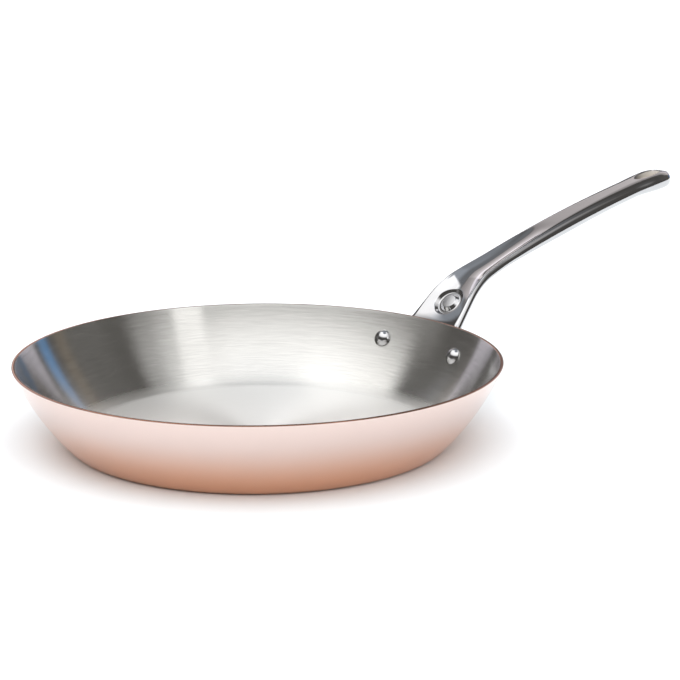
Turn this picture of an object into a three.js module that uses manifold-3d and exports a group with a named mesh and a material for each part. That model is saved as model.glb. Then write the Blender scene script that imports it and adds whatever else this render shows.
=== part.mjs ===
// A copper frying pan with a bonded steel lining and a riveted cast steel handle.
// Millimetres, +Z up. The origin is the centre of the base, on the surface the pan stands on.
// The handle runs along +X.
import * as THREE from 'three';
import { mergeVertices } from 'three/addons/utils/BufferGeometryUtils.js';
import Module from 'manifold-3d';

const wasm = await Module();
wasm.setup();

const degrees = THREE.MathUtils.degToRad;

// Pan
const PAN_DIAMETER = 280;
const PAN_HEIGHT = 47;
const BASE_DIAMETER = 210;
const FOOT_RADIUS = 8;
const WALL_RADIUS = 152;
const COPPER_THICKNESS = 1.8;
const LINING_THICKNESS = 0.2;
const BOND_GAP = 0.05;

// Rivets
const RIVET_SPACING = 62.8;
const RIVET_DROP = 16;
const RIVET_SHANK_DIAMETER = 6;
const RIVET_HEAD_DIAMETER = 10.6;
const RIVET_HEAD_HEIGHT = 3;
const RIVET_TAIL_DIAMETER = 10;
const RIVET_TAIL_HEIGHT = 2;
const RIVET_CLEARANCE = 0.3;

// Handle: the flange against the wall
const WALL_GAP = 0.3;
const FLANGE_THICKNESS = 4.5;
const FLANGE_LOBE_RADIUS = 10;
const FLANGE_EDGE_RADIUS = 1.4;
const SHOULDER_TURN = 0.45;
const ROOT_DROP = 4.4;

// Handle: the line it follows, as lengths and the rise above level at the end of each
const ROOT_LENGTH = 6;
const NECK_LENGTH = 17.8;
const NECK_RISE = degrees(45);
const BEND_LENGTH = 28.6;
const GRIP_LENGTH = 166.2;
const GRIP_START_RISE = degrees(18.75);
const GRIP_END_RISE = degrees(9.8);
const TIP_LENGTH = 20;
const TIP_RISE = degrees(5);
const TIP_ROUND_LENGTH = 13.5;
const TIP_ROUND_ANGLE = degrees(80);

// Handle: widths, thicknesses and rounded corners along that line
const ROOT_WIDTH = 41;
const NECK_WIDTH = 38;
const BEND_START_WIDTH = 30;
const BEND_WIDTH = 24.6;
const GRIP_START_WIDTH = 23.4;
const GRIP_WIDTH = 20.4;
const GRIP_END_WIDTH = 18.4;
const EYE_END_WIDTH = 21.6;
const NECK_THICKNESS = 6;
const GRIP_START_THICKNESS = 5.6;
const GRIP_THICKNESS = 9;
const EYE_END_THICKNESS = 10;
const NECK_EDGE_RADIUS = 1;
const GRIP_START_CORNER_WIDTH = 6;
const GRIP_START_CORNER_DEPTH = 2.6;
const GRIP_CORNER_WIDTH = 8;
const GRIP_CORNER_DEPTH = 4.3;
const CORNER_SHARE = 0.96;

// Handle: the trough that hollows the neck's face and runs out on the grip
const TROUGH_DEPTH = 2.4;
const TROUGH_RUN_OUT = 62;

// Handle: the round dish on the neck and the boss that stands in it
const DISH_DISTANCE = 21;
const DISH_DIAMETER = 20.4;
const DISH_DEPTH = 1.4;
const BOSS_DIAMETER = 14.4;
const BOSS_TOP_DIAMETER = 10.6;
const BOSS_HEIGHT = 2;

// Handle: the hanging eye
const EYE_LENGTH = 25;
const EYE_WIDTH = 10.4;
const EYE_END_WALL = 5;
const EYE_FLARE = 1.2;
const EYE_SWELL_LENGTH = 12;

// Facets
const PAN_SEGMENTS = 72;
const FOOT_STEPS = 3;
const WALL_STEPS = 6;
const ROUND_SEGMENTS = 24;
const ARC_STEPS = 5;
const SHOULDER_STEPS = 7;
const FACE_STEPS = 4;
const CORNER_STEPS = 3;
const NECK_RINGS = 13;
const GRIP_RINGS = 15;

// Closed meshes that can be joined and cut

function solid(geometry) {
  const bare = geometry.clone();
  bare.deleteAttribute('normal');
  bare.deleteAttribute('uv');
  const welded = mergeVertices(bare);
  const corners = welded.index.array;
  const triangles = [];
  for (let i = 0; i < corners.length; i += 3) {
    const [a, b, c] = corners.slice(i, i + 3);
    if (a !== b && b !== c && c !== a) triangles.push(a, b, c);
  }
  return new wasm.Manifold(new wasm.Mesh({
    numProp: 3,
    vertProperties: new Float32Array(welded.attributes.position.array),
    triVerts: new Uint32Array(triangles),
  }));
}

function piece(name, body, material) {
  const { vertProperties, triVerts } = body.getMesh();
  const geometry = new THREE.BufferGeometry();
  geometry.setAttribute('position', new THREE.BufferAttribute(vertProperties, 3));
  geometry.setIndex(new THREE.BufferAttribute(triVerts, 1));
  geometry.computeVertexNormals();
  const mesh = new THREE.Mesh(geometry, material);
  mesh.name = name;
  return mesh;
}

// A profile of (radius, height) points turned about +Z
function turned(profile, segments) {
  return new THREE.LatheGeometry(profile, segments).rotateX(Math.PI / 2);
}

// A geometry made about +Z, set with its +Z along an axis and its origin at a point
function aimed(geometry, point, axis) {
  const turn = new THREE.Quaternion().setFromUnitVectors(new THREE.Vector3(0, 0, 1), axis);
  return geometry.clone().applyQuaternion(turn).translate(point.x, point.y, point.z);
}

// A skin over closed rings of points. Each end is closed by a strip between the first half
// of its ring and the second half, which runs back beside it.
function lofted(rings) {
  const count = rings[0].length;
  const last = (rings.length - 1) * count;
  const triangles = [];
  const quad = (a, b, c, d) => triangles.push(a, b, c, a, c, d);
  for (let base = 0; base < last; base += count) {
    for (let i = 0; i < count; i += 1) {
      const j = (i + 1) % count;
      quad(base + i, base + j, base + count + j, base + count + i);
    }
  }
  for (let i = 0; i < count / 2 - 1; i += 1) {
    const [j, k, l] = [i + 1, count - 2 - i, count - 1 - i];
    quad(i, l, k, j);
    quad(last + i, last + j, last + k, last + l);
  }
  const geometry = new THREE.BufferGeometry();
  geometry.setFromPoints(rings.flat());
  geometry.setIndex(triangles);
  return geometry;
}

// Wall profile: a foot arc that leaves the flat base level, then one long arc to the rim.
// The wall arc touches the foot arc and passes through the rim, which places its centre.

const footCentre = new THREE.Vector2(BASE_DIAMETER / 2, FOOT_RADIUS);
const wallCentre = wallArcCentre();
const footAngle = Math.atan2(footCentre.x - wallCentre.x, wallCentre.y - footCentre.y);

function wallArcCentre() {
  const toRim = new THREE.Vector2(PAN_DIAMETER / 2, PAN_HEIGHT).sub(footCentre);
  const distance = toRim.length();
  const reach = WALL_RADIUS - FOOT_RADIUS;
  const ahead = (distance ** 2 + reach ** 2 - WALL_RADIUS ** 2) / (2 * distance);
  const aside = Math.sqrt(reach ** 2 - ahead ** 2);
  const unit = toRim.divideScalar(distance);
  const square = new THREE.Vector2(-unit.y, unit.x);
  return footCentre.clone().addScaledVector(unit, ahead).addScaledVector(square, aside);
}

// A point of an arc, at an angle from straight down
function arcPoint(centre, radius, angle) {
  return new THREE.Vector2(
    centre.x + radius * Math.sin(angle),
    centre.y - radius * Math.cos(angle),
  );
}

// The wall at an angle along its arc and a depth in from its outer face
function wallPoint(angle, depth) {
  return arcPoint(wallCentre, WALL_RADIUS - depth, angle);
}

function wallAngle(height, depth) {
  return Math.acos((wallCentre.y - height) / (WALL_RADIUS - depth));
}

// The pan's profile at one depth, from the axis out to the rim
function panProfile(depth) {
  const points = [new THREE.Vector2(0, depth)];
  for (let i = 0; i < FOOT_STEPS; i += 1) {
    points.push(arcPoint(footCentre, FOOT_RADIUS - depth, (footAngle * i) / FOOT_STEPS));
  }
  const rimAngle = wallAngle(PAN_HEIGHT, depth);
  for (let i = 0; i <= WALL_STEPS; i += 1) {
    points.push(wallPoint(footAngle + ((rimAngle - footAngle) * i) / WALL_STEPS, depth));
  }
  return points;
}

function panLayer(depth, layerThickness) {
  const outer = panProfile(depth);
  const inner = panProfile(depth + layerThickness).reverse();
  return withRivetHoles(solid(turned([...outer, ...inner], PAN_SEGMENTS)));
}

// Rivets: each axis runs square through the wall, outward and down, from the wall's outer face

const wallThickness = COPPER_THICKNESS + BOND_GAP + LINING_THICKNESS;
const rivetAngle = wallAngle(PAN_HEIGHT - RIVET_DROP, 0);
const rivetWall = wallPoint(rivetAngle, 0);
const rivetTurn = Math.asin(RIVET_SPACING / 2 / rivetWall.x);

// A solid made about a rivet's axis, with zero at the wall's outer face
function atRivet(side, geometry) {
  const around = new THREE.Vector3(Math.cos(rivetTurn), side * Math.sin(rivetTurn), 0);
  const point = around.clone().multiplyScalar(rivetWall.x).setZ(rivetWall.y);
  const axis = around.clone().multiplyScalar(Math.sin(rivetAngle)).setZ(-Math.cos(rivetAngle));
  return solid(aimed(geometry, point, axis));
}

// A domed head from its edge to its crown
function dome(diameter, height) {
  const radius = (diameter ** 2 / 4 + height ** 2) / (2 * height);
  const half = Math.asin(diameter / 2 / radius);
  const points = [];
  for (let i = 0; i <= ARC_STEPS; i += 1) {
    const angle = half * (1 - i / ARC_STEPS);
    points.push(new THREE.Vector2(radius * Math.sin(angle), radius * Math.cos(angle) - radius + height));
  }
  return points;
}

function rivet(side) {
  const shank = RIVET_SHANK_DIAMETER / 2;
  const headSeat = -(wallThickness + RIVET_CLEARANCE);
  const tailSeat = WALL_GAP + FLANGE_THICKNESS + RIVET_CLEARANCE;
  const head = dome(RIVET_HEAD_DIAMETER, RIVET_HEAD_HEIGHT).reverse();
  const tail = dome(RIVET_TAIL_DIAMETER, RIVET_TAIL_HEIGHT);
  const profile = [
    ...head.map((p) => new THREE.Vector2(p.x, headSeat - p.y)),
    new THREE.Vector2(shank, headSeat),
    new THREE.Vector2(shank, tailSeat),
    ...tail.map((p) => new THREE.Vector2(p.x, tailSeat + p.y)),
  ];
  return atRivet(side, turned(profile, ROUND_SEGMENTS));
}

// The hole that the wall and the flange share
function rivetHole(side) {
  const radius = RIVET_SHANK_DIAMETER / 2 + RIVET_CLEARANCE;
  const length = 2 * (wallThickness + WALL_GAP + FLANGE_THICKNESS);
  const bore = new THREE.CylinderGeometry(radius, radius, length, ROUND_SEGMENTS);
  return atRivet(side, bore.rotateX(Math.PI / 2));
}

function withRivetHoles(body) {
  return body.subtract(rivetHole(1)).subtract(rivetHole(-1));
}

// Handle line: beside the wall it follows the wall's arc, above the root it is a chain of arcs.
// Distance is measured from the root, where the handle starts to leave the wall.

const followRadius = WALL_RADIUS + WALL_GAP;
const rootAngle = wallAngle(PAN_HEIGHT - ROOT_DROP, -WALL_GAP);
const rivetDistance = (rivetAngle - rootAngle) * followRadius;
const neckStart = ROOT_LENGTH;
const bendStart = neckStart + NECK_LENGTH;
const bendMiddle = bendStart + BEND_LENGTH / 2;
const gripStart = bendStart + BEND_LENGTH;
const gripMiddle = gripStart + GRIP_LENGTH / 2;
const troughEnd = gripStart + TROUGH_RUN_OUT;
const handleEnd = gripStart + GRIP_LENGTH + TIP_LENGTH;
const eyeCentre = handleEnd - EYE_END_WALL - EYE_LENGTH / 2;
const eyeStart = eyeCentre - EYE_LENGTH / 2;
const stretches = [
  { length: ROOT_LENGTH, rise: NECK_RISE },
  { length: NECK_LENGTH, rise: NECK_RISE },
  { length: BEND_LENGTH, rise: GRIP_START_RISE },
  { length: GRIP_LENGTH, rise: GRIP_END_RISE },
  { length: TIP_LENGTH, rise: TIP_RISE },
];

// Radius, height and rise of the handle's face at a distance along it
function handleLine(distance) {
  const start = Math.min(distance, 0);
  let rise = rootAngle + start / followRadius;
  let { x, y } = wallPoint(rise, -WALL_GAP);
  let left = distance - start;
  for (const stretch of stretches) {
    const run = Math.min(left, stretch.length);
    const turn = ((stretch.rise - rise) * run) / stretch.length;
    const chord = turn === 0 ? run : (2 * run * Math.sin(turn / 2)) / turn;
    x += chord * Math.cos(rise + turn / 2);
    y += chord * Math.sin(rise + turn / 2);
    rise += turn;
    left -= run;
  }
  return { radius: x, height: y, rise };
}

// A point of the handle: a distance along it, an offset to the left and a depth behind its face.
// Wrap bends the section round the pan: 1 follows the wall, 0 is straight across.
function handlePoint(distance, offset, depth) {
  const { radius, height, rise } = handleLine(distance);
  const r = radius + depth * Math.sin(rise);
  const sag = r - Math.sqrt(r ** 2 - offset ** 2);
  return new THREE.Vector3(r - wrap(distance) * sag, offset, height - depth * Math.cos(rise));
}

// A size that runs smoothly through given values along the handle and never overshoots them
function along(...stops) {
  const slope = (i) => (stops[i + 1][1] - stops[i][1]) / (stops[i + 1][0] - stops[i][0]);
  const slopes = stops.map((stop, i) => {
    if (i === 0 || i === stops.length - 1) return 0;
    const [before, after] = [slope(i - 1), slope(i)];
    return before * after > 0 ? (2 * before * after) / (before + after) : 0;
  });
  return (distance) => {
    if (distance <= stops[0][0]) return stops[0][1];
    const next = stops.findIndex(([place]) => place > distance);
    if (next < 0) return stops[stops.length - 1][1];
    const [[from, a], [to, b]] = [stops[next - 1], stops[next]];
    const t = (distance - from) / (to - from);
    const pull = slopes[next - 1] * (1 - t) - slopes[next] * t;
    return a + (b - a) * t + t * (1 - t) * ((2 * t - 1) * (b - a) + (to - from) * pull);
  };
}

const halfWidth = along(
  [0, ROOT_WIDTH / 2],
  [neckStart, NECK_WIDTH / 2],
  [bendStart, BEND_START_WIDTH / 2],
  [bendMiddle, BEND_WIDTH / 2],
  [gripStart, GRIP_START_WIDTH / 2],
  [gripMiddle, GRIP_WIDTH / 2],
  [eyeStart - EYE_SWELL_LENGTH / 2, GRIP_END_WIDTH / 2],
  [eyeStart + EYE_SWELL_LENGTH / 2, EYE_END_WIDTH / 2],
);
const thickness = along(
  [0, FLANGE_THICKNESS],
  [neckStart, NECK_THICKNESS],
  [bendStart, NECK_THICKNESS],
  [gripStart, GRIP_START_THICKNESS],
  [gripMiddle, GRIP_THICKNESS],
  [eyeCentre, EYE_END_THICKNESS],
);

// A corner rounds off a width and a depth of the section, and no more than a share of half of it
const frontCorner = (grip) => along(
  [0, FLANGE_EDGE_RADIUS],
  [neckStart, NECK_EDGE_RADIUS],
  [gripStart, NECK_EDGE_RADIUS],
  [troughEnd, grip],
);
const backCorner = (start, grip) => along(
  [0, FLANGE_EDGE_RADIUS],
  [bendStart, FLANGE_EDGE_RADIUS],
  [gripStart, start],
  [gripMiddle, grip],
);
const frontCornerWidth = frontCorner(GRIP_CORNER_WIDTH);
const frontCornerDepth = frontCorner(GRIP_CORNER_DEPTH);
const backCornerWidth = backCorner(GRIP_START_CORNER_WIDTH, GRIP_CORNER_WIDTH);
const backCornerDepth = backCorner(GRIP_START_CORNER_DEPTH, GRIP_CORNER_DEPTH);
const troughDepth = along(
  [0, 0],
  [DISH_DISTANCE, TROUGH_DEPTH],
  [gripStart, TROUGH_DEPTH],
  [troughEnd, 0],
);
const wrap = along([-ROOT_LENGTH, 1], [neckStart, 0]);

// One closed section: the face from its left edge to its right edge, then the back from right
// to left. Fullness draws the section in towards its middle depth, to round an end.
function section(distance, half, fullness = 1) {
  const thick = thickness(distance);
  const narrowed = Math.min(1, half / halfWidth(distance));
  const widest = CORNER_SHARE * half;
  const deepest = (CORNER_SHARE * thick) / 2;
  const faceFlat = half - Math.min(narrowed * frontCornerWidth(distance), widest);
  const backFlat = half - Math.min(narrowed * backCornerWidth(distance), widest);
  const faceRound = Math.min(frontCornerDepth(distance), deepest);
  const backRound = Math.min(backCornerDepth(distance), deepest);
  const face = [];
  const back = [];
  for (let i = 0; i < FACE_STEPS; i += 1) {
    const t = i / FACE_STEPS;
    face.push([faceFlat * t, troughDepth(distance) * (1 - t * t)]);
    back.push([backFlat * t, thick]);
  }
  for (let i = 0; i <= CORNER_STEPS; i += 1) {
    const angle = (Math.PI / 2) * (i / CORNER_STEPS);
    const [out, down] = [Math.sin(angle), 1 - Math.cos(angle)];
    face.push([faceFlat + (half - faceFlat) * out, faceRound * down]);
    back.push([backFlat + (half - backFlat) * out, thick - backRound * down]);
  }
  const across = (outline) => [
    ...outline.slice(1).reverse(),
    ...outline.map(([offset, depth]) => [-offset, depth]),
  ];
  return [...across(face), ...across(back).reverse()].map(([offset, depth]) => {
    const drawn = thick / 2 + (depth - thick / 2) * fullness;
    return handlePoint(distance, offset, drawn);
  });
}

// The flange's outline: a straight lower edge, a round lobe past each rivet,
// then a hollow shoulder up to the root
function flangeSections() {
  const rivetHalf = RIVET_SPACING / 2;
  const lobe = FLANGE_LOBE_RADIUS;
  const edgeFullness = 1 - (2 * FLANGE_EDGE_RADIUS) / FLANGE_THICKNESS;
  const sections = [section(rivetDistance - lobe, rivetHalf, edgeFullness)];
  for (let i = 1; i <= ARC_STEPS; i += 1) {
    const angle = (Math.PI / 2) * (i / ARC_STEPS);
    sections.push(section(rivetDistance - lobe * Math.cos(angle), rivetHalf + lobe * Math.sin(angle)));
  }
  const shoulder = new THREE.CubicBezierCurve(
    new THREE.Vector2(rivetDistance, rivetHalf + lobe),
    new THREE.Vector2(rivetDistance * SHOULDER_TURN, rivetHalf + lobe),
    new THREE.Vector2(rivetDistance * SHOULDER_TURN, ROOT_WIDTH / 2),
    new THREE.Vector2(0, ROOT_WIDTH / 2),
  );
  for (let i = 1; i < SHOULDER_STEPS; i += 1) {
    const { x, y } = shoulder.getPoint(i / SHOULDER_STEPS);
    sections.push(section(x, y));
  }
  return sections;
}

function gripSections() {
  const sections = [];
  for (let i = 0; i < NECK_RINGS; i += 1) {
    const distance = (gripStart * i) / NECK_RINGS;
    sections.push(section(distance, halfWidth(distance)));
  }
  const roundStart = handleEnd - TIP_ROUND_LENGTH;
  for (let i = 0; i < GRIP_RINGS; i += 1) {
    const distance = gripStart + ((roundStart - gripStart) * i) / GRIP_RINGS;
    sections.push(section(distance, halfWidth(distance)));
  }
  for (let i = 0; i <= ARC_STEPS; i += 1) {
    const angle = TIP_ROUND_ANGLE * (i / ARC_STEPS);
    const distance = roundStart + TIP_ROUND_LENGTH * Math.sin(angle);
    const half = (EYE_END_WIDTH / 2) * Math.cos(angle);
    sections.push(section(distance, half, Math.sqrt(Math.cos(angle))));
  }
  return sections;
}

// A solid made about +Z, set on the handle with zero at a depth behind its face and +Z out of it
function onHandle(distance, depth, geometry) {
  const { rise } = handleLine(distance);
  const axis = new THREE.Vector3(-Math.sin(rise), 0, Math.cos(rise));
  return solid(aimed(geometry, handlePoint(distance, 0, depth), axis));
}

function dishCutter() {
  const bowl = dome(DISH_DIAMETER, DISH_DEPTH).reverse().map((p) => new THREE.Vector2(p.x, -p.y));
  const clear = TROUGH_DEPTH + DISH_DEPTH;
  const profile = [
    ...bowl,
    new THREE.Vector2(DISH_DIAMETER / 2, clear),
    new THREE.Vector2(0, clear),
  ];
  return onHandle(DISH_DISTANCE, TROUGH_DEPTH, turned(profile, ROUND_SEGMENTS));
}

function boss() {
  const profile = [
    new THREE.Vector2(0, -DISH_DEPTH),
    new THREE.Vector2(BOSS_DIAMETER / 2, -DISH_DEPTH),
    new THREE.Vector2(BOSS_DIAMETER / 2, 0),
    new THREE.Vector2(BOSS_TOP_DIAMETER / 2, BOSS_HEIGHT),
    new THREE.Vector2(0, BOSS_HEIGHT),
  ];
  return onHandle(DISH_DISTANCE, TROUGH_DEPTH + DISH_DEPTH, turned(profile, ROUND_SEGMENTS));
}

// The eye's wall is narrowest at the middle of the thickness and flares to both faces.
// Each ring mirrors across the handle's middle plane, point for point, as a closed end needs.
function eyeCutter() {
  const faceHeight = EYE_END_THICKNESS / 2;
  const rings = [];
  for (let i = -ARC_STEPS; i <= ARC_STEPS; i += 1) {
    const level = (2 * i) / ARC_STEPS;
    const flare = EYE_FLARE * level ** 2;
    const ring = [];
    for (let k = 0; k < ROUND_SEGMENTS; k += 1) {
      const angle = (2 * Math.PI * (k + 0.5)) / ROUND_SEGMENTS;
      ring.push(new THREE.Vector3(
        (EYE_LENGTH / 2 - EYE_FLARE + flare) * Math.cos(angle),
        (EYE_WIDTH / 2 - EYE_FLARE + flare) * Math.sin(angle),
        faceHeight * level,
      ));
    }
    rings.push(ring);
  }
  return onHandle(eyeCentre, faceHeight, lofted(rings));
}

function handle() {
  const casting = solid(lofted([...flangeSections(), ...gripSections()]));
  return withRivetHoles(casting).subtract(dishCutter()).add(boss()).subtract(eyeCutter());
}

// The assembled pan

const polishedCopper = new THREE.MeshStandardMaterial({ color: 0xd9957a, metalness: 1, roughness: 0.16 });
const brushedSteel = new THREE.MeshStandardMaterial({ color: 0xbdbab5, metalness: 1, roughness: 0.34 });
const polishedSteel = new THREE.MeshStandardMaterial({ color: 0xc9c9cc, metalness: 1, roughness: 0.08 });
const rivetSteel = new THREE.MeshStandardMaterial({ color: 0xd0d0d0, metalness: 1, roughness: 0.12 });

const fryingPan = new THREE.Group();
fryingPan.add(
  piece('copper_body', panLayer(0, COPPER_THICKNESS), polishedCopper),
  piece('steel_lining', panLayer(COPPER_THICKNESS + BOND_GAP, LINING_THICKNESS), brushedSteel),
  piece('handle', handle(), polishedSteel),
  piece('rivet_left', rivet(1), rivetSteel),
  piece('rivet_right', rivet(-1), rivetSteel.clone()),
);

export default fryingPan;
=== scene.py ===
"""A copper frying pan: polished copper outside, a satin steel lining, a polished cast handle.

The shapes are worked out in millimetres and become metres when a mesh is made.
"""
import bpy
import math
import numpy as np
from mathutils import Euler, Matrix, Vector


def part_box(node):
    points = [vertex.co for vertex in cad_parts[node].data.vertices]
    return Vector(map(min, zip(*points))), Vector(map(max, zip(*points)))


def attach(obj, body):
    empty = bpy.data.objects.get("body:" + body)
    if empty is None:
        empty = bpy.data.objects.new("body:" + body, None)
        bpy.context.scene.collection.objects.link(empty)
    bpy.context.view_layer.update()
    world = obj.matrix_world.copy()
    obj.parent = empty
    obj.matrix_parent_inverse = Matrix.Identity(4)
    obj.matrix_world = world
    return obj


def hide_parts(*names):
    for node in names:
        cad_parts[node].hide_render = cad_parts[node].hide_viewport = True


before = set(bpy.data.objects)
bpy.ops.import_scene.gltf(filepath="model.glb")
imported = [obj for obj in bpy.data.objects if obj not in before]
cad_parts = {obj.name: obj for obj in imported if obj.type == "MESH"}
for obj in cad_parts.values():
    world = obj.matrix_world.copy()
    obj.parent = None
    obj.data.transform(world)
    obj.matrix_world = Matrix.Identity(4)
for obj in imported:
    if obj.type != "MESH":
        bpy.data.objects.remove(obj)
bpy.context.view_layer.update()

MM = 0.001

# Pan
PAN_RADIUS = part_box("copper_body")[1].x / MM
PAN_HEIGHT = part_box("copper_body")[1].z / MM
BASE_RADIUS = 105.0
FOOT_RADIUS = 8.0
WALL_RADIUS = 152.0
COPPER_THICKNESS = 1.8
LINING_THICKNESS = 0.2
BOND_GAP = 0.05
RIM_ROUNDING = 0.75
LINING_ROUNDING = 0.09
WALL_THICKNESS = COPPER_THICKNESS + BOND_GAP + LINING_THICKNESS

# Rivets
RIVET_SPACING = 62.8
RIVET_DROP = 16.0
RIVET_SHANK_RADIUS = 3.0
RIVET_HEAD_RADIUS = 5.6
RIVET_HEAD_HEIGHT = 3.4
RIVET_TAIL_RADIUS = 5.0
RIVET_TAIL_HEIGHT = 2.0
RIVET_CLEARANCE = 0.3
RIVET_EDGE = 0.25

# Handle: the flange against the wall
WALL_GAP = 0.3
FLANGE_THICKNESS = 4.5
FLANGE_LOBE_RADIUS = 10.0
FLANGE_EDGE_RADIUS = 1.4
SHOULDER_TURN = 0.45
ROOT_DROP = 4.4

# Handle: the line it follows, as lengths and the rise above level at the end of each
ROOT_LENGTH = 6.0
NECK_LENGTH = 17.8
NECK_RISE = math.radians(45)
BEND_LENGTH = 28.6
GRIP_LENGTH = 166.2
GRIP_START_RISE = math.radians(18.75)
GRIP_END_RISE = math.radians(9.8)
TIP_LENGTH = 20.0
TIP_RISE = math.radians(5)
TIP_ROUND_LENGTH = 13.5

# Handle: widths, thicknesses and rounded corners along that line
ROOT_WIDTH = 43.4
NECK_WIDTH = 41.0
BEND_START_WIDTH = 35.2
BEND_WIDTH = 30.0
GRIP_START_WIDTH = 25.6
GRIP_NEAR_WIDTH = 22.4
GRIP_NEAR_LENGTH = 22.0
GRIP_WIDTH = 21.6
GRIP_END_WIDTH = 22.0
EYE_END_WIDTH = 24.2
NECK_THICKNESS = 4.6
GRIP_START_THICKNESS = 5.2
GRIP_THICKNESS = 8.8
WAIST_THICKNESS = 8.6
EYE_END_THICKNESS = 10.2
BEND_START_DROP = -0.2
BEND_DROP = 0.1
GRIP_START_DROP = 0.5
GRIP_DROP = 0.2
GRIP_DROP_LENGTH = 50.0
NECK_FACE_CORNER = (1.95, 2.6)
GRIP_START_FACE_CORNER = (1.95, 2.8)
GRIP_FACE_CORNER = (5.8, 5.2)
EYE_FACE_CORNER = (8.2, 4.8)
GRIP_START_BACK_CORNER = (3.0, 2.0)
GRIP_BACK_CORNER = (4.2, 3.4)
EYE_BACK_CORNER = (4.4, 3.8)
CORNER_SHARE = 0.96
CORNER_RUN = 20.0

# Handle: trough, roundel and eye
TROUGH_DEPTH = 2.4
TROUGH_MIDDLE = 40.0
TROUGH_MIDDLE_DEPTH = 1.5
TROUGH_RUN_OUT = 72.0
DISH_DISTANCE = 21.0
DISH_RADIUS = 10.2
DISH_DEPTH = 1.4
GROOVE_RADIUS = 8.4
BOSS_RADIUS = 6.5
BOSS_TOP_RADIUS = 4.6
BOSS_HEIGHT = 2.0
BOSS_CROWN = 0.3
ROUNDEL_EDGE = 0.4
EYE_LENGTH = 25.0
EYE_WIDTH = 10.4
EYE_END_WALL = 5.0
EYE_FLARE = 1.4
EYE_EDGE = 0.4
EYE_SWELL_LENGTH = 24.0

# Handle: the neck's chamfer, as shares of the width and the depth of its corner
CHAMFER_TURN = (0.38, 0.13)
CHAMFER_END = (0.82, 0.50)
CHAMFER_ROUNDING = 0.12

# Mesh of the pan and the rivets
PAN_SEGMENTS = 360
RIVET_SEGMENTS = 64
BASE_STEPS = 21
FOOT_STEPS = 14
WALL_STEPS = 30

# Mesh of the handle: steps across its face, a corner and a side, and steps along it
FACE_STEPS = 12
CORNER_STEPS = 16
SIDE_STEPS = 3
OUTLINE_STEPS = 59
LOBE_STEPS = 39
FLANGE_EDGE_STEPS = 6
FLANGE_STEPS = 25
NECK_STEPS = 45
GRIP_STEPS = 130
TIP_STEPS = 26

# Mesh of the handle: the room that roundel and eye take in it, and the rings that lead to them
FACE_COLUMNS = 2 * (FACE_STEPS + CORNER_STEPS) + 1
ROUNDEL_COLUMNS = FACE_STEPS - 1
ROUNDEL_BEFORE = 1.25 * DISH_RADIUS
ROUNDEL_AFTER = 1.2 * DISH_RADIUS
ROUNDEL_APPROACH = (0.3, 0.6, 0.85)
ROUNDEL_LIP = 1.0
CROWN_SHARES = (0.8, 0.6, 0.4, 0.2)
EYE_COLUMNS = FACE_STEPS + 6
EYE_BEFORE = 4.0
EYE_TIP_MARGIN = 2.4
EYE_APPROACH = (0.35, 0.7)
EYE_EDGE_STEPS = 4
EYE_WALL_STEPS = 13

# Finishes: colours, heights between which they change, and roughness
# Painted reflection: the copper turns redder and darker towards its foot, standing in for the
# shaded floor it mirrors there.
COPPER_FOOT_PAINTED_REFLECTION = (0.80, 0.45, 0.295, 1.0)
COPPER_WALL = (0.735, 0.60, 0.555, 1.0)
# Painted shade: a dark brown line on the rim's top, standing in for the rim's dark reflection.
PAINTED_RIM_SHADE = (0.42, 0.21, 0.14, 1.0)
PAINTED_REFLECTION_FULL_HEIGHT = 2.0
PAINTED_REFLECTION_END_HEIGHT = 36.0
PAINTED_RIM_SHADE_START = PAN_HEIGHT - 0.5
PAINTED_RIM_SHADE_END = PAN_HEIGHT - 0.15
BRUSHED_DARK = (0.48, 0.472, 0.45, 1.0)
# The light brushing tone is also used as the painted highlight where the base meets the wall.
BRUSHED_LIGHT_AND_PAINTED_HIGHLIGHT = (0.93, 0.92, 0.89, 1.0)
SATIN_DARK = (0.90, 0.89, 0.865, 1.0)
SATIN_LIGHT = (0.98, 0.97, 0.945, 1.0)
BRUSHED_ROUND = 0.25
CAST_DARK = (0.53, 0.527, 0.535, 1.0)
CAST_LIGHT = (0.59, 0.587, 0.595, 1.0)
# Painted shade and painted light for the inside of the eye.
EYE_SHADE = (0.14, 0.13, 0.12, 1.0)
EYE_LIT = (0.70, 0.65, 0.59, 1.0)
HANDLE_ROUGHNESS = 0.05
RIVET_ROUGHNESS = 0.09
BOSS_ROUGHNESS = 0.3
WHITE = (1.0, 1.0, 1.0, 1.0)

# Room that the metal mirrors, as red, green and blue of its lights
DIM_ROOM = (0.10, 0.095, 0.09)
BACKDROP_LIGHT = (1.01, 0.94, 0.94)
COOL_LIGHT = (0.26, 0.29, 0.33)
STREAK_LIGHT = (0.52, 0.50, 0.58)
BLUE_LIGHT = (0.0, 0.22, 0.56)
WARM_LIGHT = (0.10, 0.075, 0.045)
BOX_STRENGTH = 1.55
STRIP_STRENGTH = 1.2

# Floor, and the light over it
FLOOR_COLOUR = (0.86, 0.885, 0.90, 1.0)
FLOOR_HALF = 12.0
OVERHEAD_ENERGY = 2.6
OVERHEAD_ANGLE = math.radians(115)
OVERHEAD_NEAR = 0.25
OVERHEAD_RIGHT = 0.15

# Photograph's camera
CAMERA_PLACE = (-0.70698, -0.85479, 0.33111)
CAMERA_TURN = Euler((math.radians(76.123), 0.0, math.radians(-42.0)))
CAMERA_LENS = 105.88
CAMERA_SENSOR = 36.0


# Profiles as lists of (radius, height) points

def arc(centre, radius, start, end, steps):
    """Points of an arc, at angles from straight down, with both ends."""
    angles = np.linspace(start, end, steps + 1)
    return [(centre[0] + radius * math.sin(a), centre[1] - radius * math.cos(a)) for a in angles]


def quarter_turn(steps):
    """Angles from 0 to a quarter turn, with both ends."""
    return np.linspace(0, math.pi / 2, steps + 1)


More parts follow.
